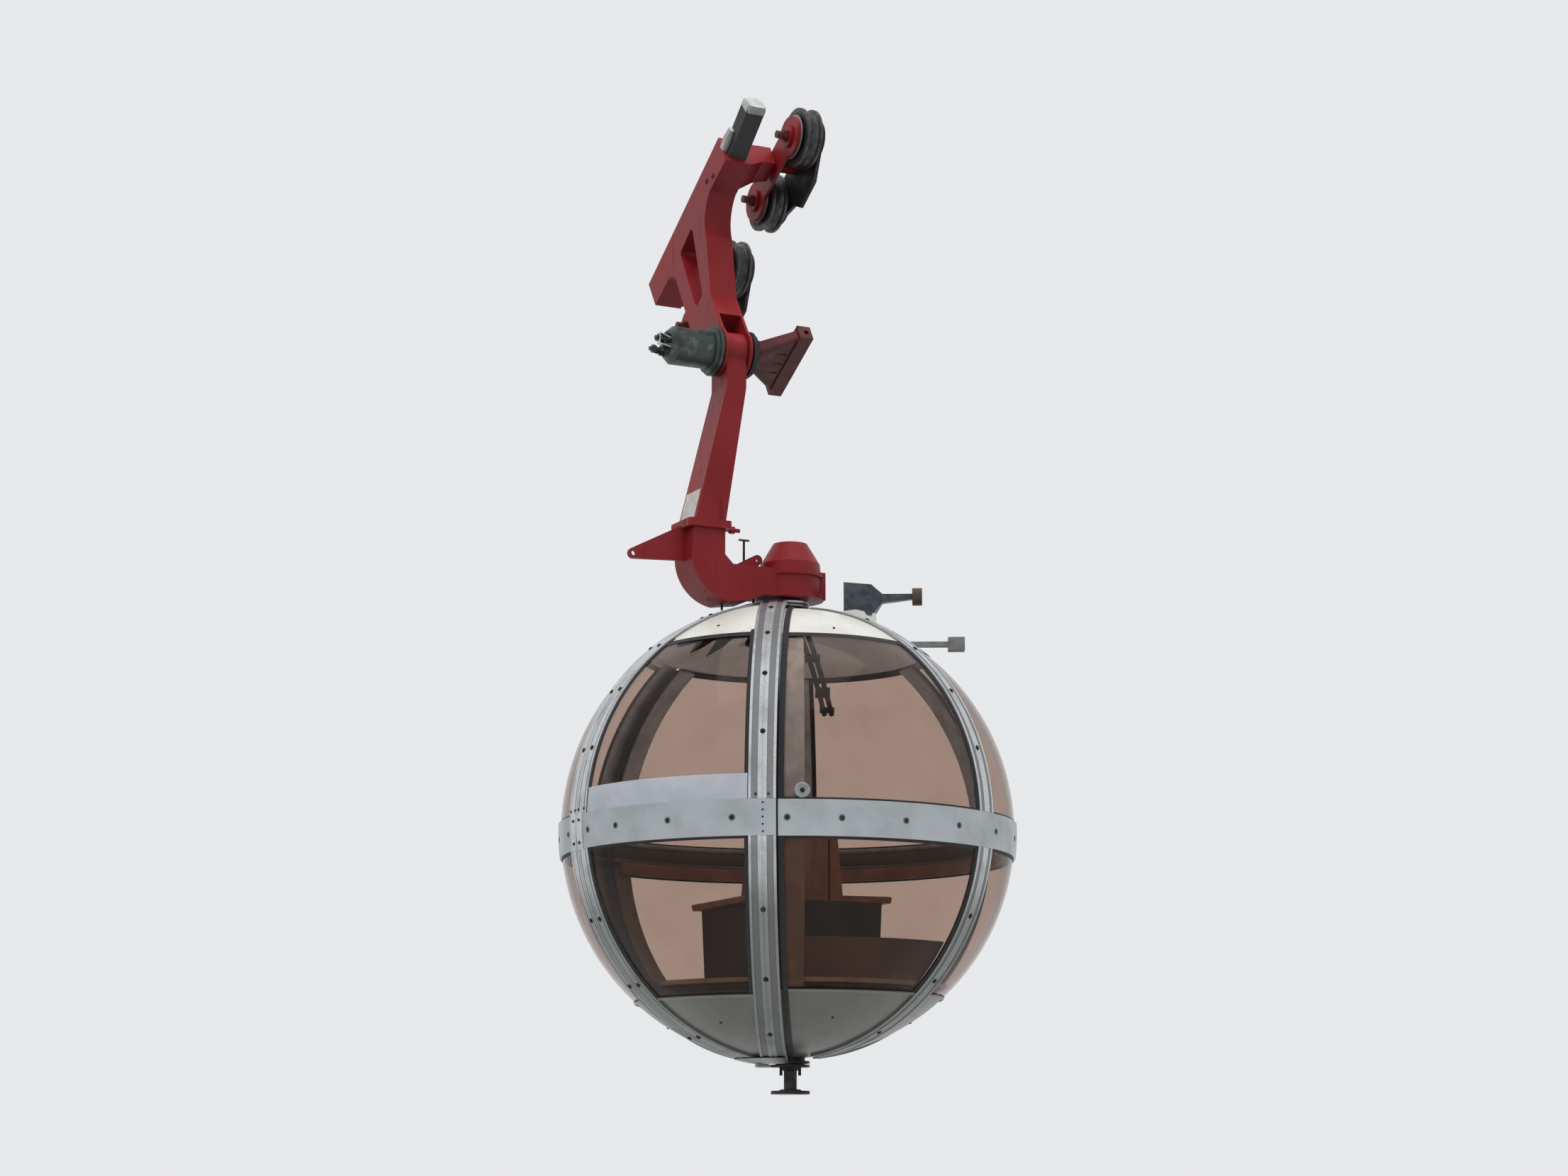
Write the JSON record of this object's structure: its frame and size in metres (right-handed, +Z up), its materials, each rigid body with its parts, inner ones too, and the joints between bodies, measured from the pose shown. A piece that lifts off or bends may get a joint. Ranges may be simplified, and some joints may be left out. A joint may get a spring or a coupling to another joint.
{
  "type": "bicable gondola cabin with carriage and hanger",
  "caption": "Round glazed gondola cabin with turning door leaves, hung by a bent arm from a sloping carriage of grooved sheaves on a fixed rope, with a haul-rope clamp.",
  "frame": {"origin": "the point on the track rope's centre line at mid-carriage, straight over the pivot across the rope", "axes": "+Z up; +Y horizontal and downhill along the line; +X across the line, away from the hanger's column and the doors"},
  "size_m": [2.29, 2.3681, 5.0568],
  "materials": {
    "red_paint": "satin paint, weathered",
    "dark_steel": "greasy dark steel",
    "sheave_metal": "worn steel",
    "grip_green": "grey-green paint, semi-gloss",
    "buffer_grey": "dark grey, dull",
    "rib_aluminium": "brushed, weathered",
    "cap_white": "off-white laminate",
    "bronze_glass": "tinted acrylic",
    "black_rubber": "matte",
    "lever_blue": "blue-grey paint",
    "plate_white": "white plate",
    "floor_tan": "worn tan sheet",
    "bench_black": "black panel",
    "seat_brown": "orange-brown shell",
    "frame_dark": "dark grey paint"
  },
  "bodies": {
    "carriage": {"carriage_frame": "red_paint", "cross_beam_upper": "red_paint", "cross_beam_lower": "red_paint", "end_buffer": "buffer_grey", "pivot_shaft": "dark_steel", "pivot_disc": "dark_steel", "haul_clamp": "red_paint", "grip_cylinder": "grip_green", "grip_rods": "grip_green"},
    "truck_upper": {"truck_upper_cheek": "red_paint", "truck_upper_back": "dark_steel", "truck_upper_axles": "dark_steel"},
    "truck_lower": {"truck_lower_cheek": "red_paint", "truck_lower_back": "dark_steel", "truck_lower_axles": "dark_steel"},
    "sheave_1": {"sheave_1": "sheave_metal"},
    "sheave_2": {"sheave_2": "sheave_metal"},
    "sheave_3": {"sheave_3": "sheave_metal"},
    "sheave_4": {"sheave_4": "sheave_metal"},
    "cabin": {"hanger_upper": "red_paint", "hanger_lower": "red_paint", "number_plate": "plate_white", "beam_post": "dark_steel", "beam_gusset": "red_paint", "king_pin": "dark_steel", "bottom_coupling": "dark_steel", "roof_cap": "cap_white", "floor_pan": "cap_white", "panes_upper": "bronze_glass", "panes_lower": "bronze_glass", "fixed_ribs": "rib_aluminium", "door_jambs": "black_rubber", "fixed_band": "rib_aluminium", "inner_frame": "frame_dark", "edge_roller": "rib_aluminium", "roof_lever": "lever_blue", "roof_latch": "rib_aluminium", "cabin_floor": "floor_tan", "bench_base": "bench_black", "seat_shells": "seat_brown", "kick_panel": "seat_brown", "hand_rail": "seat_brown"},
    "door_front": {"door_front_frame": "rib_aluminium", "door_front_caps": "cap_white", "door_front_panes": "bronze_glass", "door_front_band": "rib_aluminium", "sill_strip": "cap_white"},
    "door_rear": {"door_rear_frame": "rib_aluminium", "door_rear_caps": "cap_white", "door_rear_panes": "bronze_glass", "door_rear_band": "rib_aluminium"}
  },
  "joints": [
    {"name": "truck_upper_rock", "type": "hinge", "parent": "carriage", "child": "truck_upper", "pos_m": [0, -0.31809, 0.40304], "axis": [1, 0, 0], "range_deg": [-10, 10]},
    {"name": "truck_lower_rock", "type": "hinge", "parent": "carriage", "child": "truck_lower", "pos_m": [0, 0.50809, -0.07396], "axis": [1, 0, 0], "range_deg": [-10, 10]},
    {"name": "sheave_1_spin", "type": "hinge", "parent": "truck_upper", "child": "sheave_1", "pos_m": [0, -0.53328, 0.49033], "axis": [1, 0, 0], "continuous": true},
    {"name": "sheave_2_spin", "type": "hinge", "parent": "truck_upper", "child": "sheave_2", "pos_m": [0, -0.13491, 0.26033], "axis": [1, 0, 0], "continuous": true},
    {"name": "sheave_3_spin", "type": "hinge", "parent": "truck_lower", "child": "sheave_3", "pos_m": [0, 0.29291, 0.01333], "axis": [1, 0, 0], "continuous": true},
    {"name": "sheave_4_spin", "type": "hinge", "parent": "truck_lower", "child": "sheave_4", "pos_m": [0, 0.69128, -0.21667], "axis": [1, 0, 0], "continuous": true},
    {"name": "cabin_swing", "type": "hinge", "parent": "carriage", "child": "cabin", "pos_m": [-0.35, -0.39, -0.6755], "axis": [1, 0, 0], "range_deg": [-35, 20]},
    {"name": "door_front_turn", "type": "hinge", "parent": "cabin", "child": "door_front", "pos_m": [0, -0.39, -1.9755], "axis": [0, 0, 1], "range_deg": [0, 50]},
    {"name": "door_rear_turn", "type": "hinge", "parent": "cabin", "child": "door_rear", "pos_m": [0, -0.39, -1.9555], "axis": [0, 0, 1], "range_deg": [-50, 0]}
  ],
  "couplings": [
    {"joint": "door_rear_turn", "follows": "door_front_turn", "ratio": -1}
  ]
}
